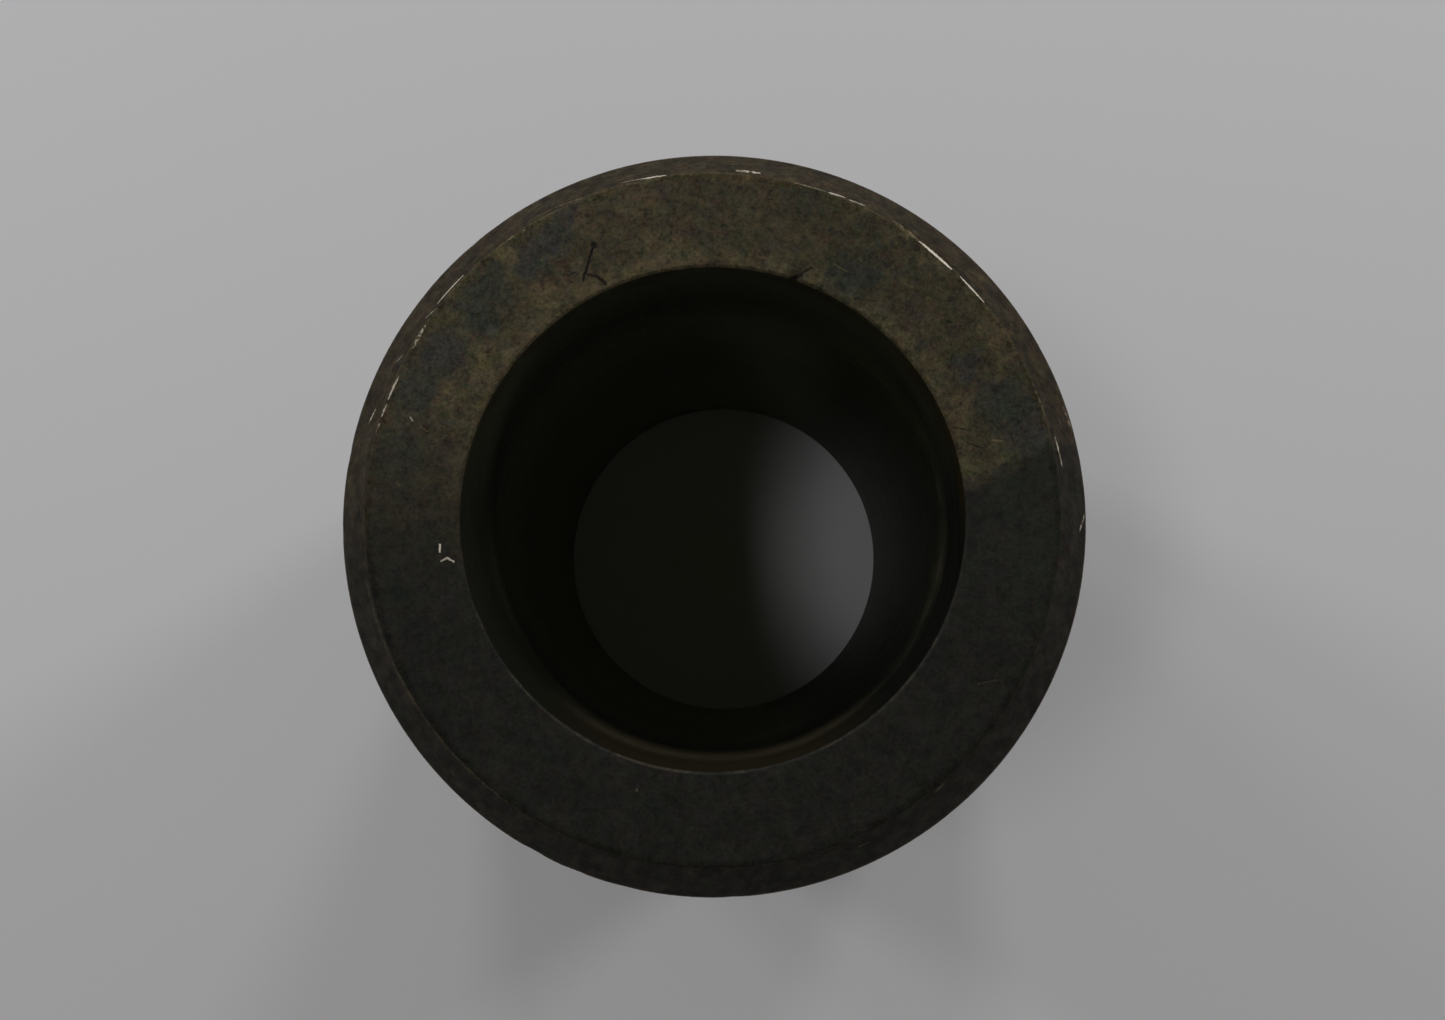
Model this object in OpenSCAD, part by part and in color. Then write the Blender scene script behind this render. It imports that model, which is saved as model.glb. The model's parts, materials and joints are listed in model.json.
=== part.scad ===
// Plain sleeve bushing: one thick-walled bronze sleeve, turned all over.
// All sizes are in millimetres. +Z runs up the bore, and the origin is the centre of the
// bottom end face, so the bushing stands on Z = 0.

/* [Sleeve] */
// Bore diameter, a 2 in shaft running in it
bore_d = 50.8; // [20:0.1:60]
// Outside diameter, 3-1/8 in, pressed into its housing
outer_d = 79.375; // [78:0.125:140]
// Overall length between the two end faces, 3-1/2 in
sleeve_length = 88.9; // [40:0.1:200]

/* [Ends] */
// How far each lead-in chamfer cuts in from the outside diameter, 3/16 in
lead_in_depth = 4.7625; // [1:0.0625:6]
// Angle between a lead-in chamfer and the axis
lead_in_angle = 30; // [20:1:60]
// Size of the 45 degree edge break at each mouth of the bore
bore_break = 0.2; // [0.1:0.1:1]

/* [Hidden] */
$fn = 128;

bore_r = bore_d / 2;
mouth_r = bore_r + bore_break;
outer_r = outer_d / 2;
face_r = outer_r - lead_in_depth;
lead_in_height = lead_in_depth / tan(lead_in_angle);

// One end of the wall's outline, from the bore out to the outside diameter:
// edge break, flat end face, lead-in chamfer. Each point is [radius, distance in from the end].
end_outline = [
    [bore_r, bore_break],
    [mouth_r, 0],
    [face_r, 0],
    [outer_r, lead_in_height],
];

// The same outline at the top end, walked back from the outside diameter to the bore
top_outline = [
    for (i = [len(end_outline) - 1 : -1 : 0])
        [end_outline[i][0], sleeve_length - end_outline[i][1]]
];

// The bushing itself, a single piece of tarnished bronze
module bushing_sleeve() {
    color([0.20, 0.18, 0.14])
        rotate_extrude()
            polygon(concat(end_outline, top_outline));
}

bushing_sleeve();
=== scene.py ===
"""A worn bronze sleeve bushing standing on a pale table, seen from above.

The sleeve is one mesh, revolved from its wall section and then worn: corners rounded off, nicks along
both rims, tool rings in the bore. Its material is aged bronze: dark olive tarnish, patches of slate and
gold, fine mottling, and bare metal where the corners have rubbed. Some of its colour is painted light
and shade: the top face's darker front and lighter back, the lead-in, the bore and two rim lines.
Lengths are in metres unless a name ends in _mm, and angles are in degrees anticlockwise from +X,
seen from above.
"""

import json
import math
import random

import bpy
import numpy as np
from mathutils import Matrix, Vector, noise


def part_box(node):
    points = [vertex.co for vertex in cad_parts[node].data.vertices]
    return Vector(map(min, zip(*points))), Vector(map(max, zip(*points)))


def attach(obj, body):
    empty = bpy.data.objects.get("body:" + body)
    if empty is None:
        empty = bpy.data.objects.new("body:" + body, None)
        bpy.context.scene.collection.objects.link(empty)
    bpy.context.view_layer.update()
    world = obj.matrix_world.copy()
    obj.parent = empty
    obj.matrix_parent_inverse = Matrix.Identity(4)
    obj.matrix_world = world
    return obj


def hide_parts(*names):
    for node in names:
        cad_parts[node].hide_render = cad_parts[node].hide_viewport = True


MM = 0.001
NODE = "bushing_sleeve"

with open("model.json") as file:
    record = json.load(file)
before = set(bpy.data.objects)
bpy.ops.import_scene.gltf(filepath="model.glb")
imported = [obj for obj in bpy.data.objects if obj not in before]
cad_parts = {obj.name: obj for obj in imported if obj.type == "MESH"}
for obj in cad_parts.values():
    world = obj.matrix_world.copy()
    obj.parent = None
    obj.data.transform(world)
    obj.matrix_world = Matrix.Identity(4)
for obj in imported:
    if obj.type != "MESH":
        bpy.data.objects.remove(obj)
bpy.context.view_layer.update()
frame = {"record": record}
scene = bpy.context.scene


# ------------------------------------------------------------ sizes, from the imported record

mounts = {mount["name"]: mount["dims"] for mount in frame["record"]["mounts"]}
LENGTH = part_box(NODE)[1].z
BORE_R = mounts["bore"]["r_mm"] * MM
OUTER_R = mounts["outside"]["r_mm"] * MM
BORE_BREAK = (LENGTH - mounts["bore"]["length_mm"] * MM) / 2
LEAD_IN_HEIGHT = (LENGTH - mounts["outside"]["length_mm"] * MM) / 2
LEAD_IN_ANGLE = math.radians(30)
FACE_R = OUTER_R - LEAD_IN_HEIGHT * math.tan(LEAD_IN_ANGLE)
MOUTH_R = BORE_R + BORE_BREAK
LEAD_IN_MM = LEAD_IN_HEIGHT / MM
FACE_MM = FACE_R / MM
BORE_MM = BORE_R / MM
OUTER_MM = OUTER_R / MM


# ------------------------------------------------------------ camera

def make_camera():
    """A phone held over the bore, a little in front of its axis and almost level."""
    camera = bpy.data.objects.new("camera", bpy.data.cameras.new("camera"))
    scene.collection.objects.link(camera)
    above_face = Vector((2.706, -9.925, 127.97)) * MM
    camera.location = Vector((0, 0, LENGTH)) + above_face
    pitch, roll = math.radians(1.225), math.radians(0.198)
    camera.rotation_euler = (pitch, roll, 0)
    camera.data.sensor_width = 36.0
    camera.data.lens = 31.85
    camera.data.shift_x = -0.00865
    camera.data.shift_y = 0.05536
    camera.data.clip_start = 5 * MM
    scene.camera = camera


# ------------------------------------------------------------ the wall's section

FINE, MIDDLE, COARSE = 1024, 512, 256  # vertices round a ring


def rounded_corner(before, corner, after, radius, steps):
    """Points round a corner of the section, on an arc that meets both its sides."""
    before, corner, after = (np.array(p[:2], float) for p in (before, corner, after))
    if radius == 0:
        return [corner]
    to_before = (before - corner) / np.linalg.norm(before - corner)
    to_after = (after - corner) / np.linalg.norm(after - corner)
    half = math.acos(to_before @ to_after) / 2
    middle = (to_before + to_after) / np.linalg.norm(to_before + to_after)
    centre = corner + middle * radius / math.sin(half)
    first = corner + to_before * radius / math.tan(half) - centre
    last = corner + to_after * radius / math.tan(half) - centre
    turn = math.atan2(first[0] * last[1] - first[1] * last[0], first @ last)
    angles = [turn * i / steps for i in range(steps + 1)]
    return [centre + [first[0] * math.cos(a) - first[1] * math.sin(a),
                      first[0] * math.sin(a) + first[1] * math.cos(a)] for a in angles]


def section():
    """The closed outline of the wall as rings: (radius, height, vertices round it).

    It starts in the bore, under its top mouth, and runs over the top face, down the outside,
    across the bottom face and back up the bore. Rings are close together where detail shows.
    """
    tooled_top, tooled_bottom = LENGTH - 5 * MM, LENGTH - 28 * MM
    corners = [  # radius, height, then in mm: corner radius, spacing; then arc steps, vertices round
        (BORE_R, LENGTH - BORE_BREAK, 0.25, 0.15, 3, FINE),
        (MOUTH_R, LENGTH, 0.20, 0.30, 3, FINE),
        (FACE_R, LENGTH, 0.40, 0.50, 5, MIDDLE),
        (OUTER_R, LENGTH - LEAD_IN_HEIGHT, 0.8, 1.6, 4, COARSE),
        (OUTER_R, LEAD_IN_HEIGHT, 0.8, 0.9, 4, COARSE),
        (FACE_R, 0, 0.45, 0.9, 4, COARSE),
        (MOUTH_R, 0, 0.20, 0.2, 2, COARSE),
        (BORE_R, BORE_BREAK, 0.25, 2.0, 2, COARSE),
        (BORE_R, tooled_bottom, 0, 0.5, 0, COARSE),
        (BORE_R, tooled_top, 0, 0.5, 0, COARSE),
    ]
    count = len(corners)
    arcs = [rounded_corner(corners[i - 1], corners[i], corners[(i + 1) % count],
                           corners[i][2] * MM, corners[i][4]) for i in range(count)]
    rings = []
    for i, corner in enumerate(corners):
        spacing, around = corner[3] * MM, corner[5]
        on_arc = FINE if corner[:2] == (FACE_R, LENGTH) else around
        rings += [(*point, on_arc) for point in arcs[i]]
        start, end = arcs[i][-1], arcs[(i + 1) % count][0]
        parts = max(1, round(np.linalg.norm(end - start) / spacing))
        rings += [(*(start + (end - start) * k / parts), around) for k in range(1, parts)]
    return rings


# ------------------------------------------------------------ wear in the mesh

# Nicks that show: angle, radius_mm, depth below the top face_mm, then half length round,
# half width and depth of the dent, all in mm.
NICKS = [
    (49.5, 34.9, 0.1, 2.0, 0.45, 0.16),
    (42.0, 34.9, 0.1, 2.0, 0.45, 0.14),
    (115.0, 34.9, 0.1, 2.4, 0.35, 0.08),
    (101.0, 34.9, 0.1, 1.8, 0.35, 0.07),
    (84.5, 34.9, 0.1, 0.6, 0.40, 0.12),
    (138.0, 34.9, 0.1, 1.6, 0.40, 0.09),
    (152.0, 35.2, 0.4, 2.0, 0.50, 0.10),
    (161.0, 35.4, 0.8, 1.2, 0.50, 0.12),
    (11.0, 35.3, 0.5, 1.4, 0.45, 0.10),
    (71.5, 25.6, 0.1, 0.5, 0.55, 0.35),
    (70.0, 26.6, 0.0, 0.35, 0.6, 0.12),
    (-112.0, 25.7, 0.1, 1.4, 0.30, 0.10),
    (-147.0, 25.7, 0.1, 2.6, 0.30, 0.10),
    (-76.0, 25.7, 0.1, 0.9, 0.35, 0.12),
]

OUTSIDE_KNOCKS = 36

# Depths of the rest of the wear in mm, and how many noise lumps there are in a metre
TOOL_RING_MM = 0.022
UNEVEN_MM, UNEVEN_PER_M = 0.012, 120
RUBBED_RIM_MM, RUBBED_RIM_PER_M = 0.07, 260
RUBBED_RIM_REACH_MM = 0.6


def scattered_nicks():
    """Small random dents: along both rims of the top, round the foot, on the face and outside."""
    pick = random.Random(41)
    places = [  # how many, radius_mm, depth_mm, spread_mm across, size_mm, deepest_mm
        (46, FACE_MM, 0.1, 0.25, 0.35, 0.07),
        (34, MOUTH_R / MM, 0.1, 0.10, 0.25, 0.06),
        (22, OUTER_MM, LEAD_IN_MM, 0.5, 0.7, 0.08),
        (22, OUTER_MM, (LENGTH - LEAD_IN_HEIGHT) / MM, 0.5, 0.7, 0.08),
        (26, FACE_MM, LENGTH / MM, 0.4, 0.7, 0.08),
        (60, (FACE_R + MOUTH_R) / 2 / MM, 0.0, 4.0, 0.32, 0.04),
    ]
    nicks = []
    for count, radius, depth, spread, size, deepest in places:
        for _ in range(count):
            nicks.append((pick.uniform(0, 360), radius + pick.uniform(-spread, spread), depth,
                          size * pick.uniform(0.5, 2.2), size * pick.uniform(0.5, 1.0),
                          deepest * pick.uniform(0.3, 1.0)))
    for _ in range(OUTSIDE_KNOCKS):
        nicks.append((pick.uniform(0, 360), OUTER_MM, pick.uniform(12, 80),
                      pick.uniform(0.8, 2.5), pick.uniform(0.8, 2.2), pick.uniform(0.02, 0.09)))
    return nicks


def tool_rings(depth_mm):
    """How deep the boring tool's rings lie, by depth under the top face."""
    rings = (np.sin(depth_mm * 2.1) * 0.4 + np.sin(depth_mm * 5.3 + 1) * 0.35
             + np.sin(depth_mm * 3.4 + 2) * 0.25)
    band = np.clip((depth_mm - 6) / 1.5, 0, 1) * np.clip((27 - depth_mm) / 2.5, 0, 1)
    return TOOL_RING_MM * band * (1 + rings)


def wear_depth(angle, radius, height, position):
    """How far each vertex is worn in along its normal, in metres."""
    depth_mm = (LENGTH - height) / MM
    radius_mm = radius / MM
    worn = np.zeros(len(angle))
    for nick_angle, nick_r, nick_depth, half_length, half_width, deep in NICKS + scattered_nicks():
        turn = (angle - nick_angle + 180) % 360 - 180
        along = np.radians(turn) * radius_mm / half_length
        across = np.hypot(radius_mm - nick_r, depth_mm - nick_depth) / half_width
        near = (np.abs(along) < 3) & (across < 3)
        worn[near] += deep * np.exp(-along[near] ** 2 - across[near] ** 2)
    uneven = np.array([noise.noise(p * UNEVEN_PER_M) for p in position])
    worn += UNEVEN_MM * (1 + uneven)
    from_rim = np.hypot(radius_mm - FACE_MM, depth_mm) / RUBBED_RIM_REACH_MM
    elsewhere = Vector((7, 3, 1))
    rubbed = np.array([noise.noise(p * RUBBED_RIM_PER_M + elsewhere) for p in position])
    worn += np.exp(-from_rim ** 2) * RUBBED_RIM_MM * np.clip(rubbed + 0.3, 0, 1)
    in_bore = radius < BORE_R + 0.05 * MM
    worn[in_bore] += tool_rings(depth_mm[in_bore])
    return worn * MM


def joined_rings(counts):
    """Faces between each ring of vertices and the next, which may have another count."""
    starts = (np.cumsum(counts) - counts).tolist()
    faces = []
    for i, around in enumerate(counts):
        j = (i + 1) % len(counts)
        other = counts[j]
        steps = min(around, other)
        per_step, other_per_step = around // steps, other // steps
        for k in range(steps):
            here = [starts[i] + (k * per_step + n) % around for n in range(per_step + 1)]
            there = [starts[j] + (k * other_per_step + n) % other for n in range(other_per_step + 1)]
            faces.append(here[::-1] + there)
    return faces


def build_sleeve():
    """Revolves the section and wears the surface."""
    rings = section()
    counts = [around for _, _, around in rings]
    centre = np.array([(r, z) for r, z, _ in rings])
    along = np.roll(centre, -1, axis=0) - np.roll(centre, 1, axis=0)
    along /= np.linalg.norm(along, axis=1)[:, None]
    outward = np.c_[-along[:, 1], along[:, 0]]

    angle = np.concatenate([np.arange(around) * 360 / around for around in counts])
    radius, height = np.repeat(centre, counts, axis=0).T
    normal_r, normal_z = np.repeat(outward, counts, axis=0).T
    cos, sin = np.cos(np.radians(angle)), np.sin(np.radians(angle))
    place = np.c_[radius * cos, radius * sin, height]
    inward = wear_depth(angle, radius, height, [Vector(p) for p in place])
    place -= np.c_[normal_r * cos, normal_r * sin, normal_z] * inward[:, None]

    mesh = bpy.data.meshes.new("sleeve")
    mesh.from_pydata(place.tolist(), [], joined_rings(counts))
    mesh.update()
    mesh.shade_smooth()
    sleeve = bpy.data.objects.new("sleeve", mesh)
    scene.collection.objects.link(sleeve)
    return sleeve


# ------------------------------------------------------------ node shorthand

class Nodes:
    """Wires a node tree. Each call adds one small group of nodes and returns its output socket."""

    def __init__(self, tree):
        self.tree = tree

    def add(self, kind, *values, output=0, **settings):
        node = self.tree.nodes.new(kind)
        for name, value in settings.items():
            setattr(node, name, value)
        for i, value in enumerate(values):
            self.plug(node.inputs[i], value)
        return node.outputs[output]

    def plug(self, socket, value):
        if isinstance(value, bpy.types.NodeSocket):
            self.tree.links.new(value, socket)
        elif isinstance(value, tuple) and socket.type == "RGBA":
            socket.default_value = (*value, 1)
        else:
            socket.default_value = value

    def math(self, operation, *values):
        return self.add("ShaderNodeMath", *values, operation=operation)

    def vector(self, operation, *values):
        output = "Value" if operation in ("LENGTH", "DISTANCE", "DOT_PRODUCT") else "Vector"
        return self.add("ShaderNodeVectorMath", *values, operation=operation, output=output)

    def scaled(self, vector, factor):
        node = self.tree.nodes.new("ShaderNodeVectorMath")
        node.operation = "SCALE"
        self.plug(node.inputs["Vector"], vector)
        self.plug(node.inputs["Scale"], factor)
        return node.outputs["Vector"]

    def noise(self, place, lump_mm, detail=3.0, roughness=0.55, seed=0.0, output="Fac"):
        """Noise from 0 to 1, or a noise colour, with lumps of about the given size."""
        node = self.tree.nodes.new("ShaderNodeTexNoise")
        elsewhere = self.vector("ADD", place, (0.37 * seed, 0.23 * seed, 0.51 * seed))
        for name, value in (("Vector", elsewhere), ("Scale", 1 / (lump_mm * MM)),
                            ("Detail", detail), ("Roughness", roughness)):
            self.plug(node.inputs[name], value)
        return node.outputs[output]

    def step(self, value, low, high):
        """0 below low, 1 above high and smooth between. With low above high it is turned round."""
        node = self.tree.nodes.new("ShaderNodeMapRange")
        node.interpolation_type = "SMOOTHSTEP"
        turned = float(low > high)
        for name, wanted in (("Value", value), ("From Min", min(low, high)), ("From Max", max(low, high)),
                             ("To Min", turned), ("To Max", 1 - turned)):
            self.plug(node.inputs[name], wanted)
        return node.outputs["Result"]

    def band(self, value, low, high, soft):
        """1 between low and high, fading to 0 across each of them."""
        rise = self.step(value, low - soft, low + soft)
        fall = self.step(value, high + soft, high - soft)
        return self.product(rise, fall)

    def chain(self, operation, values):
        result = values[0]
        for value in values[1:]:
            result = self.math(operation, result, value)
        return result

    def product(self, *values):
        return self.chain("MULTIPLY", values)

    def total(self, *values):
        return self.chain("ADD", values)

    def most(self, *values):
        return self.chain("MAXIMUM", values)

    def lay(self, under, over, share, how="MIX"):
        """One colour laid over another by a share from 0 to 1."""
        node = self.tree.nodes.new("ShaderNodeMix")
        node.data_type = "RGBA"
        node.blend_type = how
        factor, under_socket, over_socket = (s for s in node.inputs if s.enabled)
        for socket, value in ((factor, share), (under_socket, under), (over_socket, over)):
            self.plug(socket, value)
        return next(s for s in node.outputs if s.enabled)

    def between(self, low, high, share):
        """A value from low to high by a share from 0 to 1."""
        node = self.tree.nodes.new("ShaderNodeMapRange")
        for name, value in (("Value", share), ("To Min", low), ("To Max", high)):
            self.plug(node.inputs[name], value)
        return node.outputs["Result"]


class Spot:
    """Where on the sleeve a point of its surface lies, as sockets."""

    def __init__(self, nodes):
        self.nodes = nodes
        self.place = nodes.add("ShaderNodeTexCoord", output="Object")
        split = nodes.tree.nodes.new("ShaderNodeSeparateXYZ")
        nodes.plug(split.inputs[0], self.place)
        x, y, self.z = split.outputs
        flat = nodes.add("ShaderNodeCombineXYZ", x, y, 0.0)
        self.radius = nodes.vector("LENGTH", flat)
        self.outward = nodes.vector("NORMALIZE", flat)
        self.x_mm = nodes.math("DIVIDE", x, MM)
        self.y_mm = nodes.math("DIVIDE", y, MM)
        self.flat_mm = nodes.scaled(flat, 1 / MM)
        self.radius_mm = nodes.math("DIVIDE", self.radius, MM)
        self.angle = nodes.math("DEGREES", nodes.math("ARCTAN2", y, x))
        self.depth_mm = nodes.math("DIVIDE", nodes.math("SUBTRACT", LENGTH, self.z), MM)
        # How far from the nearer end
        self.end_mm = nodes.math("MINIMUM", self.depth_mm, nodes.math("DIVIDE", self.z, MM))

        past_lead_in = nodes.step(self.end_mm, LEAD_IN_MM - 0.2, LEAD_IN_MM + 0.2)
        self.in_lead_in = nodes.step(self.end_mm, LEAD_IN_MM + 0.2, LEAD_IN_MM - 0.2)
        past_face = nodes.step(self.radius_mm, FACE_MM - 0.1, FACE_MM + 0.3)
        near_bore_r = nodes.step(self.radius_mm, BORE_MM + 0.35, BORE_MM + 0.15)
        near_outer_r = nodes.step(self.radius_mm, OUTER_MM - 0.5, OUTER_MM - 0.1)
        self.bore = nodes.product(near_bore_r, nodes.step(self.end_mm, 0.2, 0.6))
        self.chamfer = nodes.product(past_face, self.in_lead_in)
        self.outside = nodes.product(near_outer_r, past_lead_in)

    def wound_noise(self, round_mm, across_mm, **settings):
        """Noise with lumps so long round the sleeve and so wide across: rings, streaks or scuffs."""
        turn = self.nodes.scaled(self.outward, OUTER_R / round_mm)
        across = self.nodes.math("DIVIDE", self.nodes.math("ADD", self.z, self.radius), across_mm)
        lift = self.nodes.add("ShaderNodeCombineXYZ", 0.0, 0.0, across)
        return self.nodes.noise(self.nodes.vector("ADD", turn, lift), 1, **settings)


# ------------------------------------------------------------ aged bronze

# Dark tarnish of the top face's front half, darkened further as painted shade
SHADED_TARNISH = (0.0160, 0.0165, 0.0130)
SHADED_TARNISH_BROWN = (0.0200, 0.0188, 0.0152)
SHADED_TARNISH_OLIVE = (0.0230, 0.0242, 0.0180)
KHAKI = (0.0562, 0.0476, 0.0260)
GOLD = (0.1000, 0.0810, 0.0410)
AMBER = (0.0800, 0.0580, 0.0340)
SLATE = (0.0350, 0.0360, 0.0325)
TEAL = (0.0330, 0.0360, 0.0270)
BROWN = (0.0430, 0.0345, 0.0240)
SOOT = (0.0070, 0.0065, 0.0050)
RUST = (0.0200, 0.0110, 0.0070)
# The bore's colours are painted light and shade: darkest where the lamps light the wall near the mouth,
# pale deep down at the back and left, where little light reaches
BORE_BACK = (0.0340, 0.0345, 0.0215)
BORE_SIDE = (0.0145, 0.0152, 0.0098)
BORE_SIDE_FRONT = tuple(0.68 * part for part in BORE_SIDE)
BORE_DARK = (0.0026, 0.0028, 0.0018)
BORE_DEEP = (0.3300, 0.3600, 0.2300)
BORE_DEEP_RIGHT = (0.0680, 0.0700, 0.0370)
BORE_DEEP_FRONT = (0.0205, 0.0215, 0.0120)
# Worn tool rings, painted bright only on the lit right wall: real wear and a painted sheen
BORE_RINGS_AND_SHEEN = (0.0800, 0.0790, 0.0430)
BORE_RUST = (0.0180, 0.0120, 0.0030)
BORE_BROWN = (0.0150, 0.0118, 0.0061)
BORE_UMBER = (0.0460, 0.0380, 0.0230)
WALL_BROWN = (0.1350, 0.1030, 0.0610)
WALL_DARK = (0.0330, 0.0290, 0.0210)
WALL_GOLD = (0.3000, 0.2250, 0.1250)
RUBBED = (0.1300, 0.1020, 0.0600)
# Worn pink edge where the lead-in meets the outside, partly a painted reflection on that rounded corner
PINK_EDGE = (0.1500, 0.1150, 0.0980)
WORN_GOLD = (0.4200, 0.3200, 0.1500)
BARE = (0.6200, 0.5600, 0.4700)
# Colours to multiply by
# Painted light: the left of the top face's pale back half is made lighter
LEFT_PAINTED_LIGHT = (1.20, 1.17, 1.18)
DARK_RINGS = (0.55, 0.55, 0.50)

# Stains on the top face: angle, radius_mm, then the stain's own radius_mm, colour, strength
STAINS = [
    (115.5, 33.6, 1.5, SLATE, 0.65), (119.5, 32.4, 1.9, SLATE, 0.80), (125.0, 31.6, 2.2, SLATE, 0.80),
    (134.0, 32.4, 2.2, TEAL, 0.85), (139.5, 31.0, 2.5, TEAL, 0.95), (148.5, 31.4, 2.8, SLATE, 0.75),
    (156.0, 32.3, 3.0, TEAL, 0.80), (168.0, 31.8, 3.4, TEAL, 0.60),
    (58.5, 29.4, 2.6, TEAL, 0.90), (62.0, 27.6, 2.0, TEAL, 0.85), (31.0, 29.8, 1.5, SLATE, 0.70),
    (21.0, 31.6, 3.2, TEAL, 0.95), (14.0, 33.2, 3.0, SLATE, 0.75), (8.0, 33.5, 2.4, TEAL, 0.60),
    (74.0, 33.6, 2.2, TEAL, 0.45), (103.5, 33.5, 1.5, AMBER, 0.70), (100.0, 27.8, 1.7, GOLD, 0.55),
    (114.0, 32.2, 1.1, AMBER, 0.45), (128.5, 34.2, 1.2, GOLD, 0.60), (128.5, 27.8, 1.4, GOLD, 0.70),
    (147.0, 27.4, 1.6, GOLD, 0.55), (155.0, 28.6, 1.6, GOLD, 0.60), (167.0, 28.2, 1.7, BROWN, 0.70),
    (89.0, 30.6, 2.6, BROWN, 0.45), (69.0, 29.6, 1.3, AMBER, 0.50), (56.0, 35.1, 0.8, GOLD, 0.80),
    (50.5, 33.4, 1.4, AMBER, 0.50), (45.5, 28.8, 1.5, BROWN, 0.75), (43.0, 27.2, 1.2, GOLD, 0.70),
    (33.5, 34.2, 1.6, GOLD, 0.60), (28.5, 33.2, 1.3, GOLD, 0.45), (24.0, 27.4, 1.6, GOLD, 0.45),
    (11.0, 31.9, 0.7, GOLD, 0.90), (37.0, 31.2, 1.6, BROWN, 0.40),
]

# Bare arcs on the rim and the lead-in: start and end angle, start and end radius_mm, half width_mm,
# brightness, and how solid they are from 0 to 1
ARCS = [
    (46.0, 53.5, 34.80, 34.90, 0.15, 1.00, 1.0),
    (38.5, 44.5, 34.95, 34.90, 0.11, 1.00, 1.0),
    (69.5, 77.0, 35.00, 34.85, 0.05, 0.32, 0.8),
    (67.5, 70.5, 35.15, 34.95, 0.16, 0.70, 0.3),
    (64.0, 67.0, 35.30, 35.05, 0.12, 0.75, 0.5),
    (53.5, 59.0, 34.95, 35.25, 0.34, 0.22, 0.0),
    (82.0, 86.5, 35.60, 35.60, 0.26, 0.95, 0.0),
    (97.5, 102.0, 35.10, 35.20, 0.10, 0.90, 1.0),
    (100.5, 105.5, 35.20, 35.40, 0.07, 0.45, 0.8),
    (112.0, 116.5, 35.05, 35.40, 0.14, 0.22, 0.2),
    (116.0, 120.5, 35.40, 35.85, 0.06, 0.20, 0.6),
    (122.0, 126.5, 34.65, 34.90, 0.12, 0.25, 0.0),
    (135.5, 142.0, 35.35, 35.50, 0.11, 0.95, 0.9),
    (142.5, 145.0, 34.95, 35.75, 0.13, 0.60, 0.3),
    (146.0, 150.5, 34.85, 34.70, 0.16, 0.55, 0.0),
    (155.5, 160.0, 34.65, 34.75, 0.10, 0.90, 0.8),
    (160.5, 163.0, 34.70, 34.80, 0.09, 0.80, 0.8),
    (164.0, 165.5, 34.80, 34.90, 0.15, 0.50, 0.0),
    (152.0, 153.5, 35.70, 36.30, 0.09, 0.55, 0.6),
    (161.5, 164.5, 36.45, 37.10, 0.15, 0.70, 0.2),
    (8.5, 14.0, 35.90, 35.70, 0.14, 0.75, 0.3),
    (15.0, 23.5, 35.00, 34.90, 0.10, 0.18, 0.2),
    (-1.5, 1.5, 38.35, 39.35, 0.16, 0.60, 0.2),
    (14.5, 18.5, 39.20, 39.00, 0.26, 0.28, 0.0),
    (-51.0, -49.0, 35.40, 35.35, 0.06, 0.25, 0.8),
    (-66.0, -64.0, 36.45, 36.40, 0.08, 0.22, 0.4),
    (-170.5, -156.0, 35.55, 35.35, 0.24, 0.07, 0.0),
    (-158.0, -146.5, 35.40, 35.15, 0.22, 0.09, 0.3),
    (-148.0, -125.0, 35.20, 35.00, 0.20, 0.07, 0.2),
]
# Straight marks on the top face: two ends as angle and radius_mm, half width_mm, strength
BRIGHT_MARKS = [
    ((185.5, 27.45), (187.0, 27.55), 0.11, 1.00),
    ((189.0, 27.55), (188.5, 26.90), 0.09, 0.70),
    ((188.5, 26.90), (189.5, 26.30), 0.10, 0.85),
    ((161.5, 32.00), (162.0, 31.70), 0.09, 0.60),
    ((162.5, 30.70), (163.0, 29.95), 0.07, 0.15),
    ((15.5, 29.20), (15.0, 30.00), 0.12, 0.20),
    ((64.5, 28.40), (61.5, 28.30), 0.10, 0.12),
    ((60.5, 30.10), (60.0, 30.00), 0.14, 0.12),
    ((50.0, 30.60), (49.0, 30.80), 0.07, 0.08),
    ((46.0, 30.95), (45.5, 31.10), 0.07, 0.09),
    ((39.5, 30.60), (39.0, 31.00), 0.07, 0.12),
    ((174.0, 31.60), (173.5, 31.90), 0.12, 0.08),
    ((-32.0, 31.30), (-29.5, 32.80), 0.05, 0.10),
    ((-105.5, 28.15), (-105.5, 28.25), 0.13, 0.16),
]
DARK_MARKS = [
    ((113.5, 30.05), (113.5, 29.95), 0.36, 0.90),
    ((114.0, 29.75), (117.5, 27.80), 0.14, 1.00),
    ((117.5, 27.90), (118.5, 27.30), 0.16, 0.90),
    ((72.0, 25.30), (70.0, 26.10), 0.26, 0.95),
    ((70.5, 26.05), (68.5, 27.10), 0.13, 0.80),
    ((16.5, 26.60), (14.5, 27.95), 0.10, 0.55),
    ((20.5, 25.90), (19.0, 27.10), 0.09, 0.45),
    ((28.5, 26.20), (27.0, 27.60), 0.07, 0.30),
]
RUST_MARKS = [
    ((117.0, 27.60), (115.5, 27.05), 0.17, 0.95),
    ((115.5, 27.05), (114.5, 26.05), 0.20, 1.00),
]


def on_circle(angle, radius):
    return radius * math.cos(math.radians(angle)), radius * math.sin(math.radians(angle))


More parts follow.
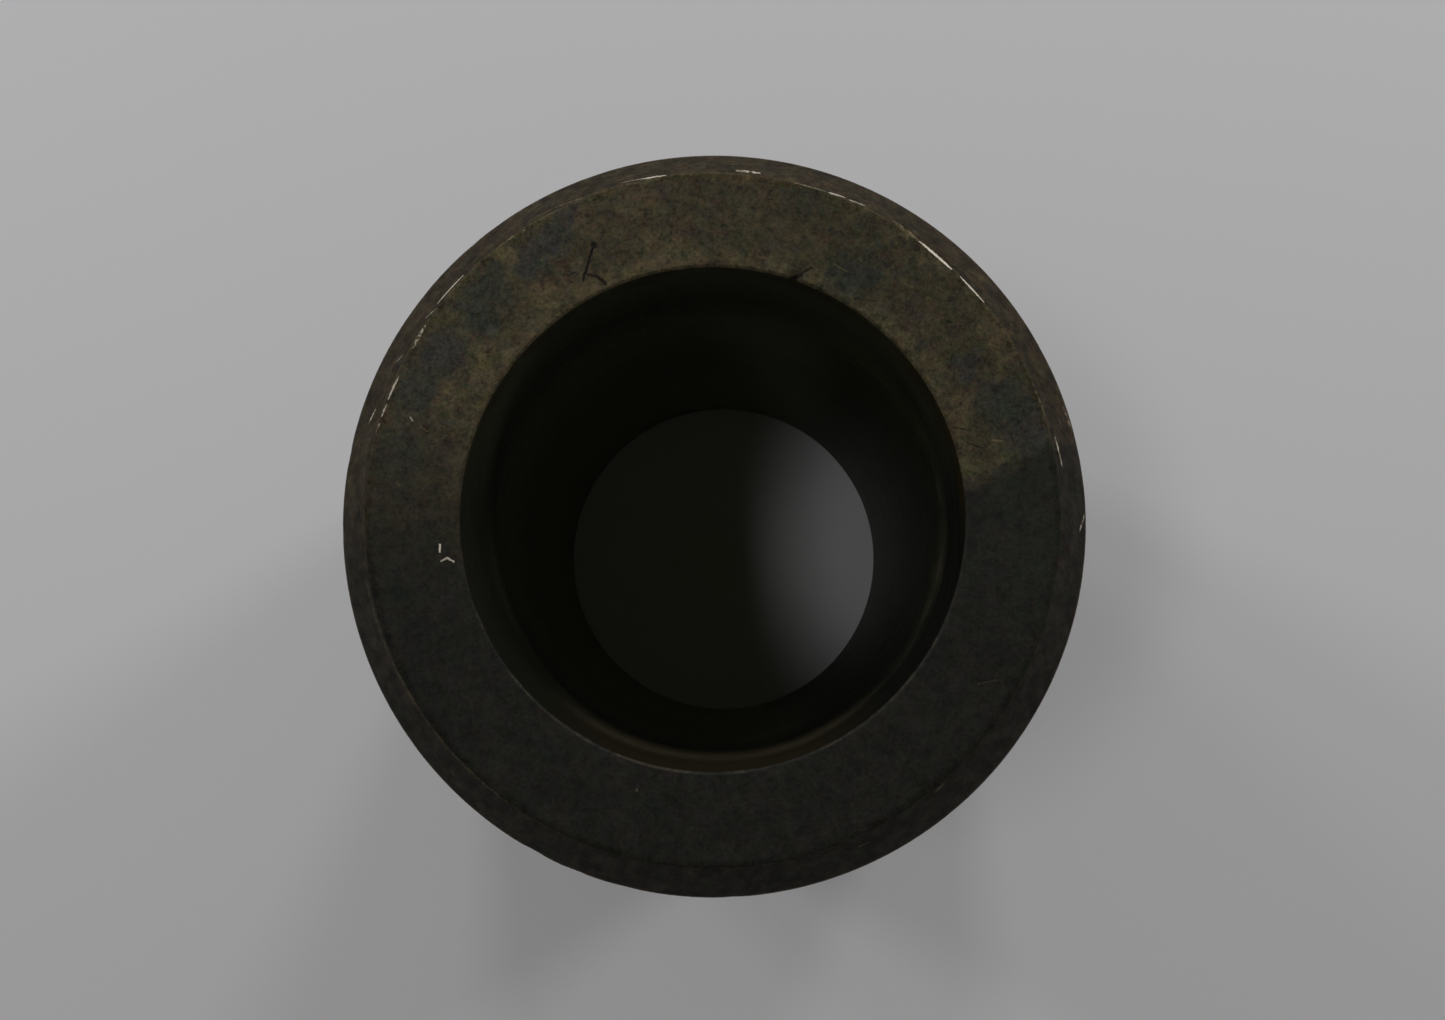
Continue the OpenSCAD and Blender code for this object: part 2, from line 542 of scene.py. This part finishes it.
def arc_mask(nodes, spot, arc, chipped, ragged_edge):
    """The share of a bare arc at a spot. It swells to its full width halfway along."""
    start, end, start_r, end_r, half_width, strength, solid = arc
    along = nodes.math("DIVIDE", nodes.math("SUBTRACT", spot.angle, start), end - start)
    middle = nodes.math("MULTIPLY_ADD", along, end_r - start_r, start_r)
    off = nodes.math("ABSOLUTE", nodes.math("SUBTRACT", spot.radius_mm, middle))
    swell = nodes.product(along, nodes.math("SUBTRACT", 1.0, along), 4.0)
    swell = nodes.math("MAXIMUM", swell, 0.0001)
    half_width_here = nodes.product(nodes.math("SQRT", swell), half_width)
    share = nodes.math("DIVIDE", nodes.total(off, ragged_edge), half_width_here)
    shape = nodes.product(nodes.step(share, 1.3, 0.6), nodes.step(swell, 0.001, 0.02))
    return nodes.product(shape, nodes.math("MAXIMUM", chipped, solid), strength)


def mark_mask(nodes, spot, mark, ragged_edge):
    """The share of a straight mark at a spot."""
    start, end, half_width, strength = mark
    start, end = Vector((*on_circle(*start), 0)), Vector((*on_circle(*end), 0))
    run = end - start
    from_start = nodes.vector("SUBTRACT", spot.flat_mm, tuple(start))
    along = nodes.vector("DOT_PRODUCT", from_start, tuple(run / run.length_squared))
    along = nodes.math("MINIMUM", nodes.math("MAXIMUM", along, 0.0), 1.0)
    off = nodes.vector("DISTANCE", from_start, nodes.scaled(tuple(run), along))
    inside = nodes.step(nodes.total(off, ragged_edge), half_width * 1.3, half_width * 0.5)
    return nodes.product(inside, strength)


def all_marks(nodes, spot, marks, ragged_edge):
    return nodes.most(*(mark_mask(nodes, spot, mark, ragged_edge) for mark in marks))


def mottled(nodes, spot, base, seed):
    """Tarnish of one tone broken up by brown, teal and gold clouds."""
    clouds = nodes.noise(spot.place, 5.0, detail=4, roughness=0.65, seed=seed)
    warm = nodes.noise(spot.place, 1.7, detail=4, roughness=0.65, seed=seed + 11)
    cool = nodes.noise(spot.place, 1.9, detail=4, roughness=0.65, seed=seed + 23)
    colour = nodes.lay(base, BROWN, nodes.product(nodes.step(warm, 0.50, 0.62), 0.60))
    colour = nodes.lay(colour, TEAL, nodes.product(nodes.step(cool, 0.52, 0.64), 0.55))
    return nodes.lay(colour, GOLD, nodes.product(nodes.step(clouds, 0.54, 0.66), 0.35))


def thin_tarnish_and_light(nodes, spot):
    """1 on the back half of the top face, where the tarnish is thin and painted light lifts it; 0 on the
    front half, under painted shade. Its edge, a painted shadow edge, climbs to the right.
    """
    on_right = nodes.step(spot.x_mm, -6, 14)
    rising = nodes.math("MULTIPLY_ADD", nodes.math("MAXIMUM", spot.x_mm, 26.0), 0.45, -8.0)
    edge_y = nodes.between(4.0, rising, on_right)
    softness = nodes.between(13.0, 1.3, on_right)
    wander = nodes.noise(spot.place, 3.0, detail=4, roughness=0.65, seed=31)
    y = nodes.total(spot.y_mm, nodes.between(-2.2, 2.2, wander))
    above = nodes.math("DIVIDE", nodes.math("SUBTRACT", y, edge_y), softness)
    return nodes.step(above, -1.0, 1.0)


def top_face_colour(nodes, spot, thin_and_lit):
    """Khaki and gold on the back half, where the tarnish is thin and painted light lifts it, over dark
    tarnish darkened by painted shade across the front half.
    """
    jitter = nodes.noise(spot.place, 2.0, detail=4, roughness=0.65, seed=5, output="Color")
    jitter_mm = nodes.scaled(nodes.vector("SUBTRACT", jitter, (0.5, 0.5, 0.5)), 7.0)
    ragged = nodes.vector("ADD", spot.flat_mm, jitter_mm)
    off_chamfer = nodes.math("SUBTRACT", 1.0, spot.chamfer)

    pale = mottled(nodes, spot, KHAKI, seed=1)
    flecks = nodes.noise(spot.place, 1.2, detail=4, roughness=0.75, seed=41)
    by_mouth = nodes.product(nodes.step(spot.radius_mm, 28.6, 25.8), nodes.step(flecks, 0.40, 0.58))
    pale = nodes.lay(pale, GOLD, nodes.product(by_mouth, 0.60))
    for angle, radius, size, tint, strength in STAINS:
        off = nodes.vector("DISTANCE", ragged, (*on_circle(angle, radius), 0))
        inside = nodes.step(off, size * 1.35, size * 0.35)
        pale = nodes.lay(pale, tint, nodes.product(inside, strength))
    # Painted light: the left of the pale back half is lifted
    on_left = nodes.product(nodes.step(spot.x_mm, 14, -4), off_chamfer)
    pale = nodes.lay(pale, LEFT_PAINTED_LIGHT, on_left, "MULTIPLY")

    # The front half: dark tarnish, partly painted shade
    dull = nodes.noise(spot.place, 3.4, detail=5, roughness=0.65, seed=51)
    heavy_and_shaded = nodes.lay(SHADED_TARNISH, SHADED_TARNISH_BROWN, nodes.step(dull, 0.42, 0.58))
    on_right = nodes.product(nodes.step(spot.x_mm, 18, 34), nodes.step(spot.y_mm, -14, -4))
    heavy_and_shaded = nodes.lay(heavy_and_shaded, SHADED_TARNISH_OLIVE, nodes.product(on_right, off_chamfer, 0.8))
    return nodes.lay(heavy_and_shaded, pale, thin_and_lit)


def chamfer_tint(nodes, spot, thin_and_lit):
    """What the top face's colour is multiplied by on the lead-in: darker blotches, a little warmer. Its
    front and back follow the top face's painted shade and painted light, less strongly.
    """
    blotch = spot.wound_noise(1.6, 1.1, detail=4, roughness=0.65, seed=107)
    blotch = nodes.between(0.45, 1.10, nodes.step(blotch, 0.28, 0.72))
    # Painted light and shade: the front is lifted, the back darkened
    shade = nodes.product(blotch, nodes.between(1.50, 0.77, thin_and_lit))
    red = nodes.product(shade, 1.05)
    green = nodes.product(shade, 0.95)
    blue = nodes.product(shade, nodes.between(0.91, 0.98, thin_and_lit))
    return nodes.add("ShaderNodeCombineXYZ", red, green, blue)


def bore_colour(nodes, spot):
    """Painted light and shade by place: near black at the mouth, darkest where the lamps light it, and
    paler deep down, where little light reaches. With worn rings on the right and brown in front.
    """
    back = nodes.step(spot.y_mm, 0, 14)
    front = nodes.step(spot.y_mm, -4, -16)
    right = nodes.step(spot.x_mm, 4, 18)
    far_right = nodes.step(spot.x_mm, 14, 24)

    # Painted shade: the mouth is darker in front and near black on the right, where the lamps light it
    mouth = nodes.lay(BORE_SIDE, BORE_SIDE_FRONT, front)
    mouth = nodes.lay(mouth, BORE_DARK, right)
    colour = nodes.lay(mouth, BORE_BACK, nodes.product(back, nodes.between(1.0, 0.5, far_right)))

    rings = spot.wound_noise(20.0, 0.65, detail=4, roughness=0.75, seed=63)
    most_worn = nodes.product(nodes.band(spot.depth_mm, 14.0, 21.0, 4.0), 0.07)
    streaks = nodes.step(nodes.total(rings, most_worn), 0.50, 0.60)
    pieces = spot.wound_noise(5.0, 2.2, detail=4, roughness=0.75, seed=73)
    pieces = nodes.between(0.35, 1.0, nodes.step(pieces, 0.40, 0.60))
    # Tool rings painted bright only on the right wall, where the lamp lights it: real wear and a painted
    # sheen
    worn = nodes.product(nodes.band(spot.depth_mm, 12.0, 30.0, 2.5), right)
    worn = nodes.product(worn, nodes.between(0.10, 0.95, streaks), pieces)
    colour = nodes.lay(colour, BORE_RINGS_AND_SHEEN, nodes.product(worn, nodes.between(1.0, 0.38, front)))

    # Painted light: pale deep down, most at the back and left, where little light reaches
    deep = nodes.lay(BORE_DEEP_RIGHT, BORE_DEEP_FRONT, front)
    deep = nodes.lay(deep, DARK_RINGS, nodes.step(rings, 0.56, 0.44), "MULTIPLY")
    deep = nodes.lay(BORE_DEEP, deep, right)
    # The pale deep colour starts where the lamps' light on the wall ends, a little lower in front:
    # painted light
    lower_in_front = nodes.product(front, nodes.between(3.0, 5.0, right))
    paler = nodes.step(nodes.math("SUBTRACT", spot.depth_mm, lower_in_front), 12, 34)
    palest = nodes.step(spot.depth_mm, 34, 68)
    share = nodes.total(nodes.product(paler, 0.6), nodes.product(palest, 0.4))
    colour = nodes.lay(colour, deep, share)

    right_lip = nodes.product(nodes.step(spot.x_mm, 16, 22), nodes.step(spot.y_mm, -3, 3))
    right_lip = nodes.product(right_lip, nodes.step(spot.depth_mm, 5, 2))
    colour = nodes.lay(colour, BORE_RUST, nodes.product(right_lip, 0.7))
    patch = spot.wound_noise(9.0, 5.0, detail=4, roughness=0.7, seed=67)
    back_lip = nodes.product(nodes.step(spot.end_mm, 5.0, 1.5), nodes.step(patch, 0.40, 0.60), back)
    front_lip = nodes.product(nodes.step(spot.y_mm, -17, -24), nodes.step(spot.depth_mm, 26, 17))
    front_lip = nodes.product(front_lip, nodes.between(0.65, 0.95, nodes.step(patch, 0.38, 0.58)))
    brown = nodes.lay(BORE_BROWN, BORE_UMBER, nodes.step(spot.depth_mm, 8, 15))
    return nodes.lay(colour, brown, nodes.most(nodes.product(back_lip, 0.6), front_lip)), streaks


def outside_colour(nodes, spot):
    """Turned bronze: brown tarnish, darker at the ends, rubbed back to gold in rings and scuffs."""
    patches = nodes.noise(spot.place, 13.0, detail=6, roughness=0.62, seed=83)
    wander = nodes.noise(spot.place, 6.0, detail=4, roughness=0.6, seed=85)
    wandering_end = nodes.total(spot.end_mm, nodes.between(-5.0, 5.0, wander))
    at_ends = nodes.product(nodes.step(wandering_end, 24.0, 9.0), 0.85)
    dark = nodes.most(nodes.product(nodes.step(patches, 0.46, 0.62), 0.75), at_ends)
    colour = nodes.lay(mottled(nodes, spot, WALL_BROWN, seed=71), WALL_DARK, dark)
    rings = spot.wound_noise(60.0, 0.5, detail=4, roughness=0.75, seed=91)
    rings = nodes.product(nodes.step(rings, 0.46, 0.72), 0.55)
    scuffs = spot.wound_noise(0.9, 20.0, detail=4, roughness=0.6, seed=97)
    scuffs = nodes.product(nodes.step(scuffs, 0.62, 0.76), 0.45)
    rubbed = nodes.product(nodes.most(rings, scuffs), nodes.between(1.0, 0.35, dark))
    return nodes.lay(colour, WALL_GOLD, rubbed), rubbed


def hues(nodes, spot, lump_mm, strength, seed):
    """Small differences of colour, round black."""
    colours = nodes.noise(spot.place, lump_mm, detail=2, roughness=0.6, seed=seed, output="Color")
    return nodes.scaled(nodes.vector("SUBTRACT", colours, (0.5, 0.5, 0.5)), strength)


def fine_mottling(nodes, spot, thin_and_lit, grain, blotch):
    """What every colour is multiplied by: fine grain and blotches, each with its own slight hue."""
    fine = nodes.product(nodes.math("SUBTRACT", grain, 0.5), 2.6)
    coarse = nodes.product(nodes.math("SUBTRACT", blotch, 0.5), 2.0)
    strength = nodes.between(nodes.between(0.75, 1.0, thin_and_lit), 0.40, spot.outside)
    shade = nodes.math("MULTIPLY_ADD", nodes.total(fine, coarse), strength, 1.0)
    grey = nodes.add("ShaderNodeCombineXYZ", shade, shade, shade)
    tint = nodes.vector("ADD", hues(nodes, spot, 0.5, 0.45, 131), hues(nodes, spot, 1.8, 0.40, 137))
    tint = nodes.scaled(tint, nodes.between(1.0, 0.4, spot.outside))
    return nodes.vector("ADD", tint, grey)


def aged_bronze():
    material = bpy.data.materials.new("aged_bronze")
    material.use_nodes = True
    nodes = Nodes(material.node_tree)
    spot = Spot(nodes)
    skin = material.node_tree.nodes["Principled BSDF"]
    grain = nodes.noise(spot.place, 0.32, detail=3, roughness=0.8, seed=101)
    blotch = nodes.noise(spot.place, 1.1, detail=4, roughness=0.7, seed=103)

    # Tarnish with painted light and shade: the top face and its lead-in, then the wall below it
    thin_and_lit = thin_tarnish_and_light(nodes, spot)
    face = top_face_colour(nodes, spot, thin_and_lit)
    face = nodes.lay(face, chamfer_tint(nodes, spot, thin_and_lit), spot.chamfer, "MULTIPLY")
    wall, rubbed = outside_colour(nodes, spot)
    colour = nodes.lay(face, wall, nodes.step(spot.depth_mm, 7.6, 8.8))
    colour = nodes.lay(colour, fine_mottling(nodes, spot, thin_and_lit, grain, blotch), 1.0, "MULTIPLY")

    # Rims: the top face's outer edge, the lead-in's lower edge, partly a painted reflection, and the
    # bore's mouth in front, partly a painted highlight
    broken = nodes.noise(spot.place, 0.55, detail=3, roughness=0.7, seed=111)
    broken = nodes.step(broken, 0.42, 0.56)
    pieces = nodes.step(spot.wound_noise(7.0, 7.0, detail=2, seed=115), 0.46, 0.60)
    at_end = nodes.step(spot.end_mm, 0.8, 0.4)
    face_rim = nodes.product(nodes.band(spot.radius_mm, 34.85, 35.2, 0.12), at_end)
    face_rim = nodes.product(face_rim, nodes.between(0.0, 0.10, broken))
    # Worn edge at the lead-in's foot, partly a painted reflection
    outer_rim = nodes.product(nodes.step(spot.radius_mm, 39.35, 39.60),
                              nodes.band(spot.end_mm, LEAD_IN_MM - 0.5, LEAD_IN_MM + 0.4, 0.4))
    outer_rim = nodes.product(outer_rim, nodes.between(0.35, 1.0, broken))
    # The mouth's rim is rubbed bare and painted brighter only in front, where the lamps light its bevel:
    # real wear and a painted highlight
    mouth_rim = nodes.product(nodes.step(spot.radius_mm, 25.70, 25.58), at_end)
    mouth_rim = nodes.product(mouth_rim, nodes.step(spot.y_mm, 2.0, -12.0))
    mouth_rim = nodes.product(mouth_rim, nodes.between(0.0, 0.20, nodes.product(broken, pieces)))
    colour = nodes.lay(colour, RUBBED, face_rim)
    colour = nodes.lay(colour, PINK_EDGE, outer_rim)
    bore, streaks = bore_colour(nodes, spot)
    colour = nodes.lay(colour, bore, spot.bore)
    colour = nodes.lay(colour, RUBBED, mouth_rim)

    # Scratches: bare arcs down to the lead-in's edge, and straight marks on the face only
    ragged_edge = nodes.between(-0.10, 0.10, nodes.noise(spot.place, 0.30, detail=2, seed=113))
    near_top = nodes.step(spot.depth_mm, 8.6, 8.0)
    flat_top = nodes.step(spot.depth_mm, 0.62, 0.45)
    arcs = nodes.most(*(arc_mask(nodes, spot, arc, broken, ragged_edge) for arc in ARCS))
    bright = nodes.product(all_marks(nodes, spot, BRIGHT_MARKS, ragged_edge), flat_top)
    bare = nodes.product(nodes.most(arcs, bright), near_top)
    dark = nodes.product(all_marks(nodes, spot, DARK_MARKS, ragged_edge), flat_top)
    rust = nodes.product(all_marks(nodes, spot, RUST_MARKS, ragged_edge), flat_top)
    colour = nodes.lay(colour, RUST, rust)
    colour = nodes.lay(colour, SOOT, dark)
    scraped = nodes.lay(WORN_GOLD, BARE, nodes.step(bare, 0.10, 0.45))
    nodes.plug(skin.inputs["Base Color"], nodes.lay(colour, scraped, bare))

    # Shine: bare metal most, then the rubbed wall; tarnish has almost none
    wall_metal = nodes.product(spot.outside, nodes.between(0.60, 0.90, rubbed))
    nodes.plug(skin.inputs["Metallic"], nodes.most(nodes.product(bare, 0.4), wall_metal))
    rough = nodes.between(0.58, 0.72, blotch)
    rough = nodes.between(rough, nodes.between(0.42, 0.32, rubbed), spot.outside)
    rough = nodes.between(rough, nodes.between(0.40, 0.55, streaks), spot.bore)
    nodes.plug(skin.inputs["Roughness"], nodes.between(rough, 0.38, bare))
    on_rim = nodes.step(spot.radius_mm, FACE_MM - 0.9, FACE_MM - 0.4)
    matt = nodes.product(on_rim, spot.in_lead_in)
    gloss = nodes.between(nodes.between(0.10, 0.02, matt), 0.30, spot.outside)
    nodes.plug(skin.inputs["Specular IOR Level"], nodes.between(gloss, 0.06, spot.bore))

    # Relief in mm: swells, turning marks, pits and the dark scratches
    swell = nodes.product(blotch, 0.012)
    feed = spot.wound_noise(60.0, 0.25, detail=2, roughness=0.6, seed=121)
    feed = nodes.product(feed, nodes.between(0.006, 0.0015, spot.bore))
    pits = nodes.product(nodes.step(grain, 0.42, 0.30), -0.012)
    cuts = nodes.product(dark, -0.05)
    bump = nodes.tree.nodes.new("ShaderNodeBump")
    nodes.plug(bump.inputs["Height"], nodes.total(swell, feed, pits, cuts))
    nodes.plug(bump.inputs["Distance"], MM)
    nodes.plug(skin.inputs["Normal"], bump.outputs[0])
    return material


# ------------------------------------------------------------ floor and light

FLOOR_RADIUS = 1.1
FLOOR_SIDES = 96
FLOOR_COLOUR = (0.78, 0.78, 0.80)

WINDOW_FROM_ZENITH = 69
WINDOWS = {  # azimuth, distance, power in watts
    "window_east": (35, 1.8, 6.15),
    "window_north_east": (67, 1.4, 3.01),
    "window_north": (92, 1.4, 3.38),
    "window_north_west": (135, 1.4, 1.68),
    "window_west": (150, 1.8, 5.15),
}
SKY_LOW = (0.40, 0.40, 0.402)
SKY_HIGH = (0.062, 0.062, 0.060)
SKY_OVERHEAD = (0.050, 0.050, 0.031)


def make_floor():
    turns = [2 * math.pi * i / FLOOR_SIDES for i in range(FLOOR_SIDES)]
    corners = [(FLOOR_RADIUS * math.cos(turn), FLOOR_RADIUS * math.sin(turn), 0) for turn in turns]
    mesh = bpy.data.meshes.new("floor")
    mesh.from_pydata(corners, [], [tuple(range(FLOOR_SIDES))])
    floor = bpy.data.objects.new("floor", mesh)
    scene.collection.objects.link(floor)
    material = bpy.data.materials.new("pale_floor")
    material.use_nodes = True
    skin = material.node_tree.nodes["Principled BSDF"]
    skin.inputs["Base Color"].default_value = (*FLOOR_COLOUR, 1)
    skin.inputs["Roughness"].default_value = 0.6
    mesh.materials.append(material)


def softbox(name, azimuth, from_zenith, distance, width, height, power):
    """A rectangular light aimed at the sleeve, azimuth anticlockwise from +X."""
    light = bpy.data.lights.new(name, "AREA")
    light.shape = "RECTANGLE"
    light.size, light.size_y = width, height
    light.energy = power
    lamp = bpy.data.objects.new(name, light)
    scene.collection.objects.link(lamp)
    a, t = math.radians(azimuth), math.radians(from_zenith)
    way = Vector((math.cos(a) * math.sin(t), math.sin(a) * math.sin(t), math.cos(t)))
    target = Vector((0, 0, LENGTH / 2))
    lamp.location = target + way * distance
    lamp.rotation_euler = way.to_track_quat("Z", "Y").to_euler()


def make_sky():
    """A soft dome: pale near the horizon, dim above."""
    world = bpy.data.worlds.new("sky")
    scene.world = world
    world.use_nodes = True
    nodes = Nodes(world.node_tree)
    split = nodes.tree.nodes.new("ShaderNodeSeparateXYZ")
    nodes.plug(split.inputs[0], nodes.add("ShaderNodeTexCoord", output="Generated"))
    up = split.outputs[2]
    dome = nodes.lay(SKY_LOW, SKY_HIGH, nodes.step(up, 0.36, 0.60))
    dome = nodes.lay(dome, SKY_OVERHEAD, nodes.step(up, 0.93, 0.965))
    nodes.plug(world.node_tree.nodes["Background"].inputs["Color"], dome)


def make_lights():
    """Low windows all along the back, and a high lamp on the left that lights the floor in the bore."""
    for name, (azimuth, distance, power) in WINDOWS.items():
        width, height = 0.155 * distance, 0.133 * distance
        softbox(name, azimuth, WINDOW_FROM_ZENITH, distance, width, height, power)
    softbox("lamp_west", 184.5, 22.4, 1.3, 0.30, 0.18, 1.28)
    make_sky()
    scene.view_settings.view_transform = "Standard"


make_camera()
make_floor()
make_lights()
sleeve = build_sleeve()
sleeve.data.materials.append(aged_bronze())
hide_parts(NODE)
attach(sleeve, "root")
